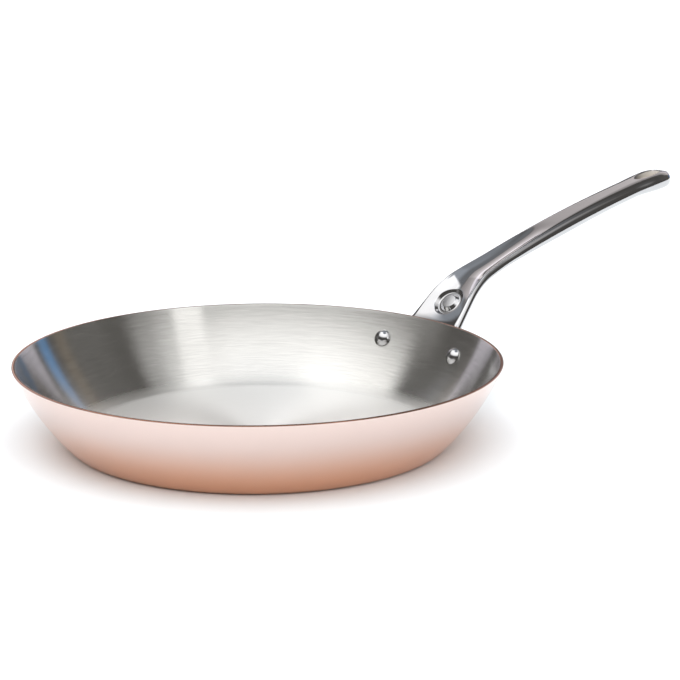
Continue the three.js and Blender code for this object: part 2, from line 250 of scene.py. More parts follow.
def filleted(points, radius, steps=5):
    """A line through points whose inner corners are rounded by a curve of about that radius."""
    line = [points[0]]
    for before, corner, after in zip(points, points[1:], points[2:]):
        corner = np.array(corner)
        into = np.array(before) - corner
        out = np.array(after) - corner
        reach_in = min(radius, np.linalg.norm(into) / 2) / np.linalg.norm(into)
        reach_out = min(radius, np.linalg.norm(out) / 2) / np.linalg.norm(out)
        start = corner + into * reach_in
        end = corner + out * reach_out
        for t in np.linspace(0, 1, steps + 1):
            line.append(tuple((1 - t) ** 2 * start + 2 * t * (1 - t) * corner + t ** 2 * end))
    return line + [points[-1]]


def wall_arc_centre():
    """The wall's arc touches the foot's arc and passes through the rim."""
    foot = np.array((BASE_RADIUS, FOOT_RADIUS))
    to_rim = np.array((PAN_RADIUS, PAN_HEIGHT)) - foot
    distance = np.linalg.norm(to_rim)
    reach = WALL_RADIUS - FOOT_RADIUS
    ahead = (distance ** 2 + reach ** 2 - WALL_RADIUS ** 2) / (2 * distance)
    aside = math.sqrt(reach ** 2 - ahead ** 2)
    unit = to_rim / distance
    return foot + unit * ahead + np.array((-unit[1], unit[0])) * aside


WALL_CENTRE = wall_arc_centre()
FOOT_ANGLE = math.atan2(BASE_RADIUS - WALL_CENTRE[0], WALL_CENTRE[1] - FOOT_RADIUS)


def wall_angle(height, depth):
    """The angle of the wall's arc at a height, at a depth in from its outer face."""
    return math.acos((WALL_CENTRE[1] - height) / (WALL_RADIUS - depth))


def wall_point(angle, depth):
    return arc(WALL_CENTRE, WALL_RADIUS - depth, angle, angle, 0)[0]


def pan_profile(depth):
    """The pan's line at a depth in from its outer face, from the axis out to the rim."""
    base = [(r, depth) for r in np.linspace(0, BASE_RADIUS, BASE_STEPS + 1)[:-1]]
    foot = arc((BASE_RADIUS, FOOT_RADIUS), FOOT_RADIUS - depth, 0, FOOT_ANGLE, FOOT_STEPS)
    rim_angle = wall_angle(PAN_HEIGHT, depth)
    wall = arc(WALL_CENTRE, WALL_RADIUS - depth, FOOT_ANGLE, rim_angle, WALL_STEPS)
    return base + foot + wall[1:]


def layer_profile(depth, thickness, rounding):
    """A layer of the pan: out along its inner face, over the rounded rim and back outside."""
    inner = pan_profile(depth + thickness)
    outer = pan_profile(depth)[::-1]
    rim = filleted([inner[-2], inner[-1], outer[0], outer[1]], rounding)
    return inner[:-1] + rim[1:-1] + outer[1:]


def dome(radius, height, steps=10):
    """A domed head from its crown out to its edge."""
    sphere = (radius ** 2 + height ** 2) / (2 * height)
    half = math.asin(radius / sphere)
    points = arc((0, 0), sphere, 0, half, steps)
    return [(r, -z - sphere + height) for r, z in points]


def rivet_profile():
    """Along the rivet's axis, with zero at the wall's outer face and the tail on the plus side."""
    head_seat = -(WALL_THICKNESS + RIVET_CLEARANCE)
    tail_seat = WALL_GAP + FLANGE_THICKNESS + RIVET_CLEARANCE
    head = [(r, head_seat - z) for r, z in dome(RIVET_HEAD_RADIUS, RIVET_HEAD_HEIGHT)]
    tail = [(r, tail_seat + z) for r, z in dome(RIVET_TAIL_RADIUS, RIVET_TAIL_HEIGHT)]
    head_edge = filleted([head[-2], head[-1], (RIVET_SHANK_RADIUS, head_seat)], RIVET_EDGE)
    tail_edge = filleted([(RIVET_SHANK_RADIUS, tail_seat), tail[-1], tail[-2]], RIVET_EDGE)
    line = head[:-1] + head_edge[1:] + tail_edge[:-1] + tail[-2::-1]
    return line[::-1]


# Handle line and sections, at distances from the root, where the handle leaves the wall

RIVET_ANGLE = wall_angle(PAN_HEIGHT - RIVET_DROP, 0)
FOLLOW_RADIUS = WALL_RADIUS + WALL_GAP
ROOT_ANGLE = wall_angle(PAN_HEIGHT - ROOT_DROP, -WALL_GAP)
RIVET_DISTANCE = (RIVET_ANGLE - ROOT_ANGLE) * FOLLOW_RADIUS
FLANGE_START = RIVET_DISTANCE - FLANGE_LOBE_RADIUS
NECK_START = ROOT_LENGTH
BEND_START = NECK_START + NECK_LENGTH
BEND_MIDDLE = BEND_START + BEND_LENGTH / 2
GRIP_START = BEND_START + BEND_LENGTH
GRIP_MIDDLE = GRIP_START + GRIP_LENGTH / 2
TROUGH_END = GRIP_START + TROUGH_RUN_OUT
HANDLE_END = GRIP_START + GRIP_LENGTH + TIP_LENGTH
TIP_ROUND_START = HANDLE_END - TIP_ROUND_LENGTH
EYE_CENTRE = HANDLE_END - EYE_END_WALL - EYE_LENGTH / 2
EYE_START = EYE_CENTRE - EYE_LENGTH / 2
STRETCHES = (
    (ROOT_LENGTH, NECK_RISE),
    (NECK_LENGTH, NECK_RISE),
    (BEND_LENGTH, GRIP_START_RISE),
    (GRIP_LENGTH, GRIP_END_RISE),
    (TIP_LENGTH, TIP_RISE),
)


def along(*stops):
    """A size that runs smoothly through (distance, value) stops and never overshoots them."""
    places = [place for place, _ in stops]
    values = [value for _, value in stops]
    secants = np.diff(values) / np.diff(places)
    slopes = [0.0]
    for m, n in zip(secants, secants[1:]):
        slopes.append(2 * m * n / (m + n) if m * n > 0 else 0.0)
    slopes.append(0.0)

    def size(distance):
        if distance <= places[0]:
            return values[0]
        if distance >= places[-1]:
            return values[-1]
        i = int(np.searchsorted(places, distance, side="right")) - 1
        span = places[i + 1] - places[i]
        t = (distance - places[i]) / span
        change = values[i + 1] - values[i]
        pull = slopes[i] * (1 - t) - slopes[i + 1] * t
        return values[i] + change * t + t * (1 - t) * ((2 * t - 1) * change + span * pull)

    return size


half_width = along(
    (0, ROOT_WIDTH / 2),
    (NECK_START, NECK_WIDTH / 2),
    (BEND_START, BEND_START_WIDTH / 2),
    (BEND_MIDDLE, BEND_WIDTH / 2),
    (GRIP_START, GRIP_START_WIDTH / 2),
    (GRIP_START + GRIP_NEAR_LENGTH, GRIP_NEAR_WIDTH / 2),
    (GRIP_MIDDLE, GRIP_WIDTH / 2),
    (EYE_START - EYE_SWELL_LENGTH / 2, GRIP_END_WIDTH / 2),
    (EYE_START + EYE_SWELL_LENGTH / 2, EYE_END_WIDTH / 2),
)
thickness = along(
    (0, FLANGE_THICKNESS),
    (NECK_START, NECK_THICKNESS),
    (BEND_START, NECK_THICKNESS),
    (GRIP_START, GRIP_START_THICKNESS),
    (GRIP_MIDDLE, GRIP_THICKNESS),
    (EYE_START - EYE_SWELL_LENGTH / 2, WAIST_THICKNESS),
    (TIP_ROUND_START, EYE_END_THICKNESS),
)
trough_depth = along(
    (0, 0.0),
    (DISH_DISTANCE, TROUGH_DEPTH),
    (GRIP_START, TROUGH_DEPTH),
    (GRIP_START + TROUGH_MIDDLE, TROUGH_MIDDLE_DEPTH),
    (TROUGH_END, 0.0),
)
drop = along(
    (0, 0.0),
    (NECK_START, 0.0),
    (BEND_START, BEND_START_DROP),
    (BEND_MIDDLE, BEND_DROP),
    (GRIP_START, GRIP_START_DROP),
    (GRIP_START + GRIP_DROP_LENGTH, GRIP_DROP),
    (GRIP_MIDDLE, 0.0),
)
chamfered = along((0, 0.0), (NECK_START, 1.0), (GRIP_START, 1.0), (TROUGH_END + CORNER_RUN, 0.0))
wrap = along((-ROOT_LENGTH, 1.0), (NECK_START, 0.0))


def front_corner(neck, start, grip, eye):
    return along(
        (0, FLANGE_EDGE_RADIUS),
        (NECK_START, neck),
        (GRIP_START, start),
        (TROUGH_END + CORNER_RUN, grip),
        (EYE_START, eye),
    )


def back_corner(start, grip, eye):
    return along(
        (0, FLANGE_EDGE_RADIUS),
        (BEND_START, FLANGE_EDGE_RADIUS),
        (GRIP_START, start),
        (GRIP_MIDDLE, grip),
        (EYE_START - EYE_SWELL_LENGTH / 2, grip),
        (TIP_ROUND_START, eye),
    )


FACE_CORNER = [
    front_corner(*sizes)
    for sizes in zip(NECK_FACE_CORNER, GRIP_START_FACE_CORNER, GRIP_FACE_CORNER, EYE_FACE_CORNER)
]
BACK_CORNER = [
    back_corner(*sizes) for sizes in zip(GRIP_START_BACK_CORNER, GRIP_BACK_CORNER, EYE_BACK_CORNER)
]


def handle_line(distance):
    """Radius, height and rise of the handle's face at a distance along it."""
    start = min(distance, 0)
    rise = ROOT_ANGLE + start / FOLLOW_RADIUS
    radius, height = wall_point(rise, -WALL_GAP)
    left = distance - start
    for length, end_rise in STRETCHES:
        run = min(left, length)
        turn = (end_rise - rise) * run / length
        chord = run if turn == 0 else 2 * run * math.sin(turn / 2) / turn
        radius += chord * math.cos(rise + turn / 2)
        height += chord * math.sin(rise + turn / 2)
        rise += turn
        left -= run
    return radius, height, rise


def handle_point(distance, offset, depth):
    """A point a distance along the handle, an offset to its left and a depth behind its face."""
    radius, height, rise = handle_line(distance)
    depth += drop(distance)
    r = radius + depth * math.sin(rise)
    sag = r - math.sqrt(r ** 2 - offset ** 2)
    return r - wrap(distance) * sag, offset, height - depth * math.cos(rise)


class Section:
    """The handle's section at a distance: half its width, its thickness and its corners."""

    def __init__(self, distance, half=None):
        self.distance = distance
        self.thick = thickness(distance)
        self.trough = trough_depth(distance)
        round_off = min(max(distance - TIP_ROUND_START, 0) / TIP_ROUND_LENGTH, 1)
        narrowed = math.sqrt(max(1 - round_off ** 2, 0))
        self.half = half or half_width(distance) * narrowed
        self.fullness = math.sqrt(narrowed)
        self.face = self.corner(FACE_CORNER, narrowed)
        self.back = self.corner(BACK_CORNER, narrowed)

    def corner(self, sizes, narrowed):
        """How much of the width and of the depth a corner rounds off."""
        width, depth = (size(self.distance) for size in sizes)
        return min(narrowed * width, CORNER_SHARE * self.half), depth

    def into(self, offset, corner):
        """How far an offset is into a corner, from 0 where it starts to 1 at the side."""
        width = corner[0]
        return max(abs(offset) - (self.half - width), 0) / width if width else 0

    def rounded(self, offset, corner):
        """How far a rounded corner has fallen away at an offset."""
        return corner[1] * (1 - math.sqrt(max(1 - self.into(offset, corner) ** 2, 0)))

    def face_fall(self, offset):
        """The face's corner is a flat chamfer on the neck and rounded on the grip."""
        round_fall = self.rounded(offset, self.face)
        share = np.interp(self.into(offset, self.face), CHAMFER[:, 0], CHAMFER[:, 1])
        flat_fall = self.face[1] * share
        return round_fall + (flat_fall - round_fall) * chamfered(self.distance)

    def drawn(self, depth):
        """A depth as it is where the tip's rounding draws face and back together."""
        return self.thick / 2 + (depth - self.thick / 2) * self.fullness

    def face_depth(self, offset):
        """The hollow of the trough and the fall of the corner."""
        flat = self.half - self.face[0]
        hollow = self.trough * max(1 - (offset / flat) ** 2, 0) if flat else 0
        return self.drawn(hollow + self.face_fall(offset))

    def back_depth(self, offset):
        return self.drawn(self.thick - self.rounded(offset, self.back))

    def offsets(self, corner):
        """Offsets from left to right, even on the flat and by equal angles on the corners."""
        flat = self.half - corner[0]
        flats = [flat * t for t in np.linspace(0, 1, FACE_STEPS + 1)[:-1]]
        right = flats + [flat + corner[0] * math.sin(a) for a in quarter_turn(CORNER_STEPS)]
        return right[:0:-1] + [-offset for offset in right]


CHAMFER = np.array(filleted(
    [(-0.3, 0.0), (0.0, 0.0), CHAMFER_TURN, CHAMFER_END, (1.0, 1.0)],
    CHAMFER_ROUNDING,
))


def flange_outline():
    """Half of the flange's outline as (distance, offset), from the middle of its lower edge."""
    rivet_half = RIVET_SPACING / 2
    radius = FLANGE_LOBE_RADIUS
    lower = [(FLANGE_START, o) for o in np.linspace(0, rivet_half, OUTLINE_STEPS + 1)]
    lobe = [
        (RIVET_DISTANCE - radius * math.cos(a), rivet_half + radius * math.sin(a))
        for a in quarter_turn(LOBE_STEPS)
    ]
    turn = RIVET_DISTANCE * SHOULDER_TURN
    controls = np.array((
        lobe[-1], (turn, lobe[-1][1]), (turn, ROOT_WIDTH / 2), (0, ROOT_WIDTH / 2),
    ))
    shoulder = []
    for t in np.linspace(0, 1, OUTLINE_STEPS + 1):
        weights = ((1 - t) ** 3, 3 * t * (1 - t) ** 2, 3 * t ** 2 * (1 - t), t ** 3)
        shoulder.append(tuple(np.dot(weights, controls)))
    return lower + lobe[1:] + shoulder[1:]


OUTLINE = np.array(flange_outline())


def edge_fall(distance, offset):
    """How far the flange's rounded edge has fallen away at a place on it."""
    start, end = OUTLINE[:-1], OUTLINE[1:]
    along_edge = end - start
    to_place = np.array((distance, abs(offset))) - start
    share = np.clip((to_place * along_edge).sum(1) / (along_edge ** 2).sum(1), 0, 1)
    inside = np.linalg.norm(to_place - along_edge * share[:, None], axis=1).min()
    short = max(FLANGE_EDGE_RADIUS - inside, 0)
    return FLANGE_EDGE_RADIUS - math.sqrt(FLANGE_EDGE_RADIUS ** 2 - short ** 2)


def flange_half(distance):
    """Half the flange's width at a distance."""
    if distance <= FLANGE_START:
        return RIVET_SPACING / 2
    place = np.searchsorted(OUTLINE[:, 0], distance, side="right")
    (d0, o0), (d1, o1) = OUTLINE[place - 1:place + 1]
    return o0 + (o1 - o0) * (distance - d0) / (d1 - d0)


# Meshes

def make_mesh(name, points, faces):
    """A smooth mesh from points in millimetres. Points that no face uses are left out."""
    used = sorted({i for face in faces for i in face})
    place = {old: new for new, old in enumerate(used)}
    corners = [tuple(c * MM for c in points[i]) for i in used]
    mesh = bpy.data.meshes.new(name)
    mesh.from_pydata(corners, [], [tuple(place[i] for i in face) for face in faces])
    mesh.validate()
    mesh.shade_smooth()
    return mesh


def add_object(name, data):
    made = bpy.data.objects.new(name, data)
    bpy.context.scene.collection.objects.link(made)
    return made


def add_piece(name, mesh, material, slot, *nodes):
    """A finished piece that stands for CAD nodes."""
    piece = add_object(name, mesh)
    mesh.materials.clear()
    mesh.materials.append(material)
    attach(piece, "root")
    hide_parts(*nodes)


class Skin:
    """Points and faces of a skin that is built ring by ring."""

    def __init__(self):
        self.points = []
        self.faces = []

    def ring(self, points):
        first = len(self.points)
        self.points += points
        return list(range(first, len(self.points)))

    def bridge(self, ring, following):
        for i in range(len(ring)):
            j = (i + 1) % len(ring)
            self.faces.append((ring[i], ring[j], following[j], following[i]))

    def grow(self, ring, points):
        """A further ring, joined to the one before it."""
        following = self.ring(points)
        self.bridge(ring, following)
        return following

    def close(self, ring, centre):
        self.points.append(centre)
        for i in range(len(ring)):
            self.faces.append((ring[i], ring[(i + 1) % len(ring)], len(self.points) - 1))


def side(start, end):
    """The points between the ends of a straight side."""
    shares = np.linspace(0, 1, SIDE_STEPS + 1)[1:-1]
    run, fall = end[0] - start[0], end[1] - start[1]
    return [(start[0] + run * t, start[1] + fall * t) for t in shares]


def section_ring(section, flange=False):
    """A closed ring: the face from left to right, a side, the back from right to left, a side."""
    face = section.offsets(section.face)
    back = section.offsets(section.back)[::-1]
    if flange:
        front_points = [(o, edge_fall(section.distance, o)) for o in face]
        back_points = [(o, section.thick - edge_fall(section.distance, o)) for o in back]
    else:
        front_points = [(o, section.face_depth(o)) for o in face]
        back_points = [(o, section.back_depth(o)) for o in back]
    right = side(front_points[-1], back_points[0])
    left = side(back_points[-1], front_points[0])
    return front_points + right + back_points + left


def flange_rows():
    """Distances from the flange's lower edge up to the root."""
    angles = quarter_turn(FLANGE_EDGE_STEPS)
    edge = [FLANGE_START + FLANGE_EDGE_RADIUS * (1 - math.cos(a)) for a in angles]
    return edge + list(np.linspace(edge[-1], 0, FLANGE_STEPS + 1)[1:-1])


def grip_rows():
    """Distances from the root to the tip."""
    neck = list(np.linspace(0, GRIP_START, NECK_STEPS + 1)[:-1])
    grip = list(np.linspace(GRIP_START, TIP_ROUND_START, GRIP_STEPS + 1)[:-1])
    tip = [TIP_ROUND_START + TIP_ROUND_LENGTH * math.sin(a) for a in quarter_turn(TIP_STEPS)]
    return neck + grip + tip[:-1]


def back_column(column):
    """The column of the back that lies behind a column of the face."""
    return 2 * FACE_COLUMNS + SIDE_STEPS - 2 - column


def block(rows, low, high, reach):
    """The rows and the face columns of a block that a round feature takes the place of."""
    inside = [i for i, d in enumerate(rows) if low <= d <= high]
    middle = FACE_COLUMNS // 2
    return inside[0], inside[-1], middle - reach, middle + reach


def round_block(box):
    """Rows and columns round a block, from its first left corner and along its first row."""
    first, last, left, right = box
    cells = [(first, j) for j in range(left, right)]
    cells += [(i, right) for i in range(first, last)]
    cells += [(last, j) for j in range(right, left, -1)]
    cells += [(i, left) for i in range(last, first, -1)]
    return cells


def build_handle():
    """The casting as one skin, from the flange's lower edge to the tip."""
    skin = Skin()
    low_rows = flange_rows()
    rows = low_rows + grip_rows()
    rings, places = [], []
    for i, distance in enumerate(rows):
        on_flange = i < len(low_rows)
        section = Section(distance, flange_half(distance) if on_flange else None)
        outline = section_ring(section, on_flange)
        rings.append(skin.ring([handle_point(distance, o, d) for o, d in outline]))
        places.append([(distance, o) for o, _ in outline])
    count = len(rings[0])
    dish_start, dish_end = DISH_DISTANCE - ROUNDEL_BEFORE, DISH_DISTANCE + ROUNDEL_AFTER
    roundel = block(rows, dish_start, dish_end, ROUNDEL_COLUMNS)
    eye = block(rows, EYE_START - EYE_BEFORE, HANDLE_END - EYE_TIP_MARGIN, EYE_COLUMNS)
    eye_back = (eye[0], eye[1], back_column(eye[3]), back_column(eye[2]))
    for i in range(len(rings) - 1):
        for j in range(count):
            if any(a <= i < b and c <= j < d for a, b, c, d in (roundel, eye, eye_back)):
                continue
            k = (j + 1) % count
            skin.faces.append((rings[i][j], rings[i][k], rings[i + 1][k], rings[i + 1][j]))
    for j in range(FACE_COLUMNS - 1):
        back = back_column(j)
        skin.faces.append((rings[0][j], rings[0][back], rings[0][back - 1], rings[0][j + 1]))
    close_flange_sides(skin, rings[0])
    skin.close(rings[-1], handle_point(HANDLE_END, 0, thickness(HANDLE_END) / 2))
    add_roundel(skin, rings, places, roundel)
    add_eye(skin, rings, places, eye)
    return make_mesh("handle", skin.points, skin.faces)


def close_flange_sides(skin, ring):
    """The two narrow ends of the flange's lower edge."""
    right = ring[FACE_COLUMNS - 1:FACE_COLUMNS + SIDE_STEPS]
    left = [ring[back_column(0)]] + ring[-SIDE_STEPS + 1:] + ring[:1]
    skin.faces.append(tuple(right[::-1]))
    skin.faces.append(tuple(left[::-1]))


def add_roundel(skin, rings, places, box):
    """The dish and its boss, as circles in the place of a block of the neck's face."""
    cells = round_block(box)
    loop = [rings[i][j] for i, j in cells]
    spots = np.array([places[i][j] for i, j in cells]) - (DISH_DISTANCE, 0)
    angles = np.arctan2(spots[:, 1], spots[:, 0])
    outward = np.stack((np.cos(angles), np.sin(angles)), 1)
    start = DISH_RADIUS + ROUNDEL_LIP
    boss_top = BOSS_HEIGHT - DISH_DEPTH
    line = filleted(
        [
            (start, 0.0),
            (DISH_RADIUS, 0.0),
            (GROOVE_RADIUS, -DISH_DEPTH),
            (BOSS_RADIUS, -DISH_DEPTH),
            (BOSS_TOP_RADIUS, boss_top),
            (0.0, boss_top + BOSS_CROWN),
        ],
        ROUNDEL_EDGE,
    )
    edge, height = line[-2]
    crown = [(edge * t, height + BOSS_CROWN * (1 - t * t)) for t in CROWN_SHARES]
    for share in ROUNDEL_APPROACH:
        circle = spots * (1 - share) + outward * start * share
        loop = skin.grow(loop, [face_place(*place) for place in circle + (DISH_DISTANCE, 0)])
    for radius, rise in line[:-1] + crown:
        loop = skin.grow(loop, [roundel_place(radius, rise, way) for way in outward])
    skin.close(loop, roundel_place(0.0, boss_top + BOSS_CROWN, (1.0, 0.0)))


def face_place(distance, offset):
    """A point of the handle's face."""
    return handle_point(distance, offset, Section(distance).face_depth(offset))


def roundel_place(radius, rise, way):
    """A point of the roundel. The dish starts on the hollowed face and levels out inwards."""
    rim = max(radius, DISH_RADIUS)
    rim_distance = DISH_DISTANCE + rim * way[0]
    rim_depth = Section(rim_distance).face_depth(rim * way[1])
    level = min(max((DISH_RADIUS - radius) / (DISH_RADIUS - GROOVE_RADIUS), 0), 1)
    level = level * level * (3 - 2 * level)
    depth = rim_depth + (TROUGH_DEPTH - rim_depth) * level - rise
    return handle_point(DISH_DISTANCE + radius * way[0], radius * way[1], depth)


def add_eye(skin, rings, places, box):
    """The hanging eye: from the face over a rounded edge, through the wall and out at the back."""
    cells = round_block(box)
    loop = [rings[i][j] for i, j in cells]
    back_loop = [rings[i][back_column(j)] for i, j in cells]
    spots = np.array([places[i][j] for i, j in cells]) - (EYE_CENTRE, 0)
    ends = np.array((EYE_LENGTH / 2, EYE_WIDTH / 2))
    angles = np.arctan2(spots[:, 1] / ends[1], spots[:, 0] / ends[0])
    outward = np.stack((np.cos(angles), np.sin(angles)), 1)
    mouth = ends + EYE_EDGE

    def place(spot, depth_share, fall):
        """A point a share of the way from the face to the back, each lowered by a fall."""
        distance = EYE_CENTRE + spot[0]
        section = Section(distance)
        front = section.face_depth(spot[1]) + fall
        back = section.back_depth(spot[1]) - fall
        return handle_point(distance, spot[1], front + (back - front) * depth_share)

    def rings_on(depth_share):
        """The rings that lead from the face or the back over the eye's edge."""
        found = []
        for share in EYE_APPROACH:
            ring = spots * (1 - share) + outward * mouth * share
            found.append([place(spot, depth_share, 0.0) for spot in ring])
        for a in quarter_turn(EYE_EDGE_STEPS):
            size = mouth - EYE_EDGE * math.sin(a)
            fall = EYE_EDGE * (1 - math.cos(a))
            found.append([place(way * size, depth_share, fall) for way in outward])
        return found

    through = []
    for share in np.linspace(0, 1, EYE_WALL_STEPS + 1)[1:-1]:
        size = ends - EYE_FLARE * (1 - (2 * share - 1) ** 2)
        through.append([place(way * size, share, EYE_EDGE) for way in outward])
    for points in rings_on(0) + through + rings_on(1)[::-1]:
        loop = skin.grow(loop, points)
    skin.bridge(loop, back_loop)


# Node graphs and finishes

class Socket:
    """One output of a node. Arithmetic on it adds Math nodes to its graph."""

    def __init__(self, graph, output):
        self.graph = graph
        self.output = output

    def part(self, name):
        """Another output of the same node."""
        return Socket(self.graph, self.output.node.outputs[name])

    def __add__(self, other):
        return self.graph.math("ADD", self, other)

    def __sub__(self, other):
        return self.graph.math("SUBTRACT", self, other)

    def __rsub__(self, other):
        return self.graph.math("SUBTRACT", other, self)

    def __mul__(self, other):
        return self.graph.math("MULTIPLY", self, other)

    def __truediv__(self, other):
        return self.graph.math("DIVIDE", self, other)

    def __pow__(self, other):
        return self.graph.math("POWER", self, other)

    __radd__ = __add__
    __rmul__ = __mul__


class Graph:
    """A node tree that is written as expressions."""

    def __init__(self, tree):
        self.tree = tree
        tree.nodes.clear()

    def add(self, kind, settings=None, inputs=None):
        """A node of a kind, with its settings, then the values or links of its sockets."""
        node = self.tree.nodes.new(kind)
        for name, value in (settings or {}).items():
            setattr(node, name, value)
        for name, value in (inputs or {}).items():
            if isinstance(value, Socket):
                self.tree.links.new(value.output, node.inputs[name])
            else:
                node.inputs[name].default_value = value
        return Socket(self, node.outputs[0]) if node.outputs else node

    def math(self, operation, *values):
        return self.add("ShaderNodeMath", {"operation": operation}, dict(enumerate(values)))

    def ease(self, value, start, end):
        """0 before start, 1 after end and smooth between them."""
        ends = {"Value": value, "From Min": start, "From Max": end}
        return self.add("ShaderNodeMapRange", {"interpolation_type": "SMOOTHSTEP"}, ends)

    def fade(self, value, start, end):
        """1 before start, 0 after end and smooth between them."""
        return 1 - self.ease(value, start, end)

    def blend(self, share, start, end):
        """A colour between two."""
        node = self.add("ShaderNodeMix", {"data_type": "RGBA"}, {0: share, 6: start, 7: end})
        return Socket(self, node.output.node.outputs[2])

    def noise(self, vector, scale, detail=2.0, roughness=0.5):
        inputs = {"Vector": vector, "Scale": scale, "Detail": detail, "Roughness": roughness}
        return self.add("ShaderNodeTexNoise", {"noise_dimensions": "3D"}, inputs)

    def bump(self, height, strength, distance):
        inputs = {"Strength": strength, "Distance": distance, "Height": height}
        return self.add("ShaderNodeBump", None, inputs)

    def vector(self, x, y, z):
        return self.add("ShaderNodeCombineXYZ", None, {"X": x, "Y": y, "Z": z})

    def axes(self, vector):
        x = self.add("ShaderNodeSeparateXYZ", None, {"Vector": vector})
        return x, x.part("Y"), x.part("Z")


def new_material(name):
    material = bpy.data.materials.new(name)
    material.use_nodes = True
    return material, Graph(material.node_tree)


def finish_material(graph, sockets):
    shader = graph.add("ShaderNodeBsdfPrincipled", None, sockets)
    graph.add("ShaderNodeOutputMaterial", None, {"Surface": shader})


def object_position(graph):
    return graph.add("ShaderNodeTexCoord").part("Object")


class Turning:
    """Places on a piece that was turned on the pan's axis."""

    def __init__(self, graph, position):
        x, y, self.height = graph.axes(position)
        self.graph = graph
        self.radius = (x * x + y * y) ** 0.5
        self.sine = y / self.radius
        self.cosine = x / self.radius
        self.track = self.radius + self.height

    def lines(self, scale, spread, detail=2.0, roughness=0.5):
        """Noise drawn out into lines round the axis."""
        place = self.graph.vector(self.sine * spread, self.cosine * spread, self.track)
        return self.graph.noise(place, scale, detail, roughness)


def polished_copper():
    """Copper with faint turning lines, painted redder at the foot as a floor reflection and
    painted brown on the rim's edge.
    """
    material, graph = new_material("polished_copper")
    position = object_position(graph)
    pan = Turning(graph, position)
    lines = pan.lines(scale=9000.0, spread=0.02)
    cloud = graph.noise(position, 14.0, 3.0)
    clouded = pan.height + 0.004 * (cloud - 0.5)
    # Painted reflection of the shaded floor, full at the foot and gone by the upper wall.
    above_painted_reflection = graph.ease(clouded, PAINTED_REFLECTION_FULL_HEIGHT * MM, PAINTED_REFLECTION_END_HEIGHT * MM)
    # Painted shade: dark brown on the very top of the rim.
    painted_rim_line = graph.ease(pan.height, PAINTED_RIM_SHADE_START * MM, PAINTED_RIM_SHADE_END * MM)
    colour = graph.blend(above_painted_reflection, COPPER_FOOT_PAINTED_REFLECTION, COPPER_WALL)
    finish_material(graph, {
        "Base Color": graph.blend(painted_rim_line, colour, PAINTED_RIM_SHADE),
        "Metallic": 1.0,
        "Roughness": 0.13 + 0.05 * cloud + 0.04 * lines,
        "Normal": graph.bump(lines, 0.02, 0.0002),
    })
    return material


def satin_steel():
    """Steel brushed round and round, crisply on the wall and to a softer satin on the base, with a
    painted highlight where they meet.
    """
    material, graph = new_material("satin_steel")
    pan = Turning(graph, object_position(graph))
    fine = pan.lines(scale=4200.0, spread=0.004, detail=3.0, roughness=0.6)
    broad = pan.lines(scale=1000.0, spread=0.006)
    strokes = 0.6 * fine + 0.4 * broad
    bump = graph.bump(strokes, 0.06, 0.0002)
    brushed = graph.blend(strokes, BRUSHED_DARK, BRUSHED_LIGHT_AND_PAINTED_HIGHLIGHT)

    def beyond_base(start, end):
        return graph.ease(pan.radius, (BASE_RADIUS + start) * MM, (BASE_RADIUS + end) * MM)

    # Painted highlight: where the base turns into the wall the colour is light and partly diffuse,
    # with a rougher finish.
    fold_roughness_and_painted_highlight = beyond_base(-3, 1) * (1 - beyond_base(3, 8))
    wall = graph.add("ShaderNodeBsdfPrincipled", None, {
        "Base Color": graph.blend(fold_roughness_and_painted_highlight, brushed, BRUSHED_LIGHT_AND_PAINTED_HIGHLIGHT),
        "Metallic": 1 - 0.05 * fold_roughness_and_painted_highlight,
        "Roughness": 0.19 + 0.08 * strokes + 0.16 * fold_roughness_and_painted_highlight,
        "Anisotropic": 1.0,
        "Anisotropic Rotation": BRUSHED_ROUND,
        "Normal": bump,
    })
    base = graph.add("ShaderNodeBsdfPrincipled", None, {
        "Base Color": graph.blend(strokes, SATIN_DARK, SATIN_LIGHT),
        "Metallic": 0.80,
        "Roughness": 0.42 + 0.10 * strokes,
        "Anisotropic": 0.85,
        "Anisotropic Rotation": BRUSHED_ROUND,
        "Normal": bump,
    })
    share = beyond_base(-3, 4)
    shader = graph.add("ShaderNodeMixShader", None, {0: share, 1: base, 2: wall})
    graph.add("ShaderNodeOutputMaterial", None, {"Surface": shader})
    return material


def polished_steel(name, roughness, boss_finish=0.0):
    """Polished steel, with painted shade and light inside the handle's eye. A boss finish roughens
    the boss's top and the inside of the eye.
    """
    material, graph = new_material(name)
    position = object_position(graph)
    waves = graph.noise(position, 60.0, 2.0)
    marks = graph.noise(position, 2600.0, 2.0)
    boss_centre = Vector(handle_point(DISH_DISTANCE, 0, 0)) * MM
    distance = {"operation": "DISTANCE"}
    from_boss = graph.add("ShaderNodeVectorMath", distance, {0: position, 1: boss_centre})
    boss_start, boss_end = BOSS_TOP_RADIUS * MM, (BOSS_TOP_RADIUS + 0.5) * MM
    on_boss = graph.fade(from_boss.part("Value"), boss_start, boss_end)
    eye_centre = Vector(handle_point(EYE_CENTRE, 0, 0)) * MM
    x, y, _ = graph.axes(position)
    eye_along = (x - eye_centre.x) / (EYE_LENGTH / 2 * MM)
    eye_aside = y / (EYE_WIDTH / 2 * MM)
    in_eye = graph.fade(eye_along * eye_along + eye_aside * eye_aside, 0.95, 1.02)
    cast = graph.blend(waves, CAST_DARK, CAST_LIGHT)
    # Painted shade and light inside the eye: dark at its end towards the pan, lit towards the tip,
    # and less metallic.
    painted_eye_shading = graph.blend(graph.ease(eye_along, -0.8, 0.2), EYE_SHADE, EYE_LIT)
    finish_material(graph, {
        "Base Color": graph.blend(in_eye, cast, painted_eye_shading),
        "Metallic": 1 - 0.3 * in_eye,
        "Roughness": roughness + 0.04 * marks + boss_finish * (on_boss + 1.3 * in_eye),
        "Normal": graph.bump(waves, 0.05, 0.0004),
    })
    return material


# Geometry Nodes

PATH_RADIUS = 0.1
MERGE_DISTANCE = 1e-6


